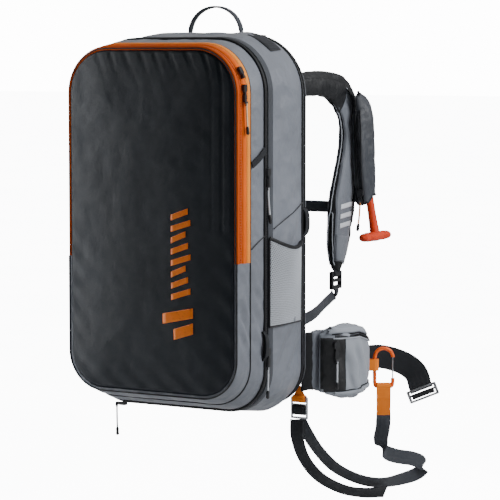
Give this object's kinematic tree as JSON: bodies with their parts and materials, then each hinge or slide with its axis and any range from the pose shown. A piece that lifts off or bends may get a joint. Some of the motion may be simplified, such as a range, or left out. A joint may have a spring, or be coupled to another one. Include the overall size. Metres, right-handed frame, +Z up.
{
  "type": "avalanche airbag backpack",
  "caption": "Ski backpack with a folded airbag and fan inside, shoulder trigger, hip belt, leg loop and zipped tool compartment.",
  "frame": {"origin": "middle of the back pad's face, where the wearer's back lies against it", "axes": "+Y the way the wearer faces, away from the bag; +Z up; +X the wearer's right, the trigger side"},
  "size_m": [0.509, 0.488, 0.766],
  "materials": {
    "shell_dark": "satin",
    "shell_grey": "matte",
    "orange_tape": "satin",
    "orange_webbing": "matte",
    "webbing_dark": "matte",
    "pad_grey": "matte",
    "mesh_black": "matte",
    "plastic_black": "satin",
    "handle_orange": "satin",
    "alloy": "satin",
    "alloy_orange": "satin",
    "airbag_fabric": "matte"
  },
  "bodies": {
    "pack": {"rear_ring": "shell_grey", "frame_sheet": "shell_dark", "frame_stay": "alloy", "back_pad": "pad_grey", "lumbar_pad": "pad_grey", "airbag_folded": "airbag_fabric", "fan_housing": "plastic_black", "fan_motor": "alloy", "capacitor_pack": "plastic_black", "control_box": "plastic_black", "air_inlet_mesh": "mesh_black", "haul_band": "webbing_dark", "shoulder_pad_right": "pad_grey", "shoulder_pad_left": "pad_grey", "strap_webbing_right": "webbing_dark", "strap_webbing_left": "webbing_dark", "trigger_sleeve": "shell_grey", "trigger_cable": "plastic_black", "leg_tab": "orange_webbing", "leg_adjuster": "alloy", "leg_strap": "webbing_dark", "leg_strap_tail": "webbing_dark", "side_mesh_pocket": "mesh_black"},
    "front_section": {"main_zip": "webbing_dark", "front_gusset": "shell_grey", "divider_panel": "shell_dark", "lower_front_panel": "shell_dark"},
    "front_flap": {"front_flap": "shell_dark", "front_zip_band": "orange_tape"},
    "front_slider_lower": {"front_slider_lower": "plastic_black"},
    "front_slider_upper": {"front_slider_upper": "plastic_black"},
    "main_slider_upper": {"main_slider_upper": "plastic_black", "main_pull_upper": "plastic_black"},
    "main_slider_lower": {"main_slider_lower": "plastic_black", "main_pull_lower": "plastic_black"},
    "bottom_slider": {"bottom_slider": "plastic_black", "bottom_pull": "plastic_black"},
    "haul_loop": {"haul_loop": "webbing_dark"},
    "release_handle": {"release_handle": "handle_orange"},
    "wing_right": {"hip_fin_right": "pad_grey", "hip_pocket": "shell_grey", "belt_webbing_right": "webbing_dark", "belt_loop": "orange_webbing", "carabiner_body": "alloy_orange", "leg_sleeve": "orange_webbing"},
    "wing_left": {"hip_fin_left": "pad_grey", "belt_webbing_left": "webbing_dark"},
    "carabiner_gate": {"carabiner_gate": "alloy"},
    "hip_buckle_right": {"hip_buckle_right": "alloy"},
    "hip_buckle_left": {"hip_buckle_left": "alloy"},
    "hip_pocket_slider": {"hip_pocket_slider": "plastic_black"},
    "sleeve_slider": {"sleeve_slider": "plastic_black"},
    "sternum_right": {"sternum_strap_right": "webbing_dark", "sternum_buckle_housing": "plastic_black", "sternum_strap_left": "webbing_dark"},
    "sternum_left": {"sternum_buckle_prong": "plastic_black"},
    "ladder_lock_right": {"ladder_lock_right": "plastic_black"},
    "ladder_lock_left": {"ladder_lock_left": "plastic_black"},
    "fan_impeller": {"fan_impeller": "plastic_black"},
    "power_button": {"power_button": "handle_orange"}
  },
  "joints": [
    {"name": "front_section_open", "type": "hinge", "parent": "pack", "child": "front_section", "pos_m": [-0.15, -0.133, 0], "axis": [0, 0, -1], "range_deg": [0, 100]},
    {"name": "front_flap_open", "type": "hinge", "parent": "front_section", "child": "front_flap", "pos_m": [0, -0.215, -0.042], "axis": [1, 0, 0], "range_deg": [0, 100]},
    {"name": "front_slider_lower_run", "type": "slide", "parent": "front_section", "child": "front_slider_lower", "axis": [0, 0, -1], "range_m": [0, 0.2]},
    {"name": "front_slider_upper_run", "type": "hinge", "parent": "front_section", "child": "front_slider_upper", "pos_m": [0.07623, -0.196, 0.20003], "axis": [0, -1, 0], "range_deg": [0, 60]},
    {"name": "main_slider_upper_run", "type": "slide", "parent": "pack", "child": "main_slider_upper", "axis": [0, 0, 1], "range_m": [0, 0.1]},
    {"name": "main_slider_lower_run", "type": "slide", "parent": "pack", "child": "main_slider_lower", "axis": [0, 0, 1], "range_m": [-0.02, 0.12]},
    {"name": "bottom_slider_run", "type": "slide", "parent": "pack", "child": "bottom_slider", "axis": [1, 0, 0], "range_m": [0, 0.15]},
    {"name": "haul_loop_fold", "type": "hinge", "parent": "pack", "child": "haul_loop", "pos_m": [-0.003, -0.023, 0.28965], "axis": [1, 0, 0], "range_deg": [-60, 60]},
    {"name": "release_pull", "type": "slide", "parent": "pack", "child": "release_handle", "axis": [0.0912, 0.1571, -0.9834], "range_m": [0, 0.03]},
    {"name": "wing_right_wrap", "type": "hinge", "parent": "pack", "child": "wing_right", "pos_m": [0.14, 0.004, 0], "axis": [0, 0, 1], "range_deg": [-25, 35]},
    {"name": "wing_left_wrap", "type": "hinge", "parent": "pack", "child": "wing_left", "pos_m": [-0.14, 0.004, 0], "axis": [0, 0, -1], "range_deg": [-25, 35]},
    {"name": "carabiner_gate_open", "type": "hinge", "parent": "wing_right", "child": "carabiner_gate", "pos_m": [0.2161, 0.145, -0.2445], "axis": [0.5, -0.866, 0], "range_deg": [0, 25], "stiffness_Nm_per_rad": 0.02},
    {"name": "hip_buckle_right_tilt", "type": "hinge", "parent": "wing_right", "child": "hip_buckle_right", "pos_m": [0.2266, 0.2217, -0.2658], "axis": [0.8002, 0.4811, 0.3581], "range_deg": [-40, 40]},
    {"name": "hip_buckle_left_tilt", "type": "hinge", "parent": "wing_left", "child": "hip_buckle_left", "pos_m": [-0.2266, 0.2217, -0.2658], "axis": [-0.8002, 0.4811, 0.3581], "range_deg": [-40, 40]},
    {"name": "hip_pocket_slider_run", "type": "slide", "parent": "wing_right", "child": "hip_pocket_slider", "axis": [0.5751, 0.8181, 0], "range_m": [0, 0.03]},
    {"name": "sleeve_slider_run", "type": "slide", "parent": "pack", "child": "sleeve_slider", "axis": [0, -0.1799, 0.9837], "range_m": [0, 0.03]},
    {"name": "sternum_height", "type": "slide", "parent": "pack", "child": "sternum_right", "axis": [0, 0, 1], "range_m": [-0.02, 0.03]},
    {"name": "sternum_release", "type": "slide", "parent": "sternum_right", "child": "sternum_left", "axis": [-1, 0, 0], "range_m": [0, 0.018], "deforming": ["sternum_strap_left"]},
    {"name": "ladder_lock_right_tilt", "type": "hinge", "parent": "pack", "child": "ladder_lock_right", "pos_m": [0.11, 0.155, -0.085], "axis": [0, -1, 0], "range_deg": [0, 45]},
    {"name": "ladder_lock_left_tilt", "type": "hinge", "parent": "pack", "child": "ladder_lock_left", "pos_m": [-0.11, 0.155, -0.085], "axis": [0, 1, 0], "range_deg": [0, 45]},
    {"name": "fan_spin", "type": "hinge", "parent": "pack", "child": "fan_impeller", "pos_m": [0.06, -0.072, 0.14], "axis": [1, 0, 0], "continuous": true},
    {"name": "power_button_press", "type": "slide", "parent": "pack", "child": "power_button", "axis": [0, 1, 0], "range_m": [0, 0.0025], "stiffness_N_per_m": 300}
  ]
}
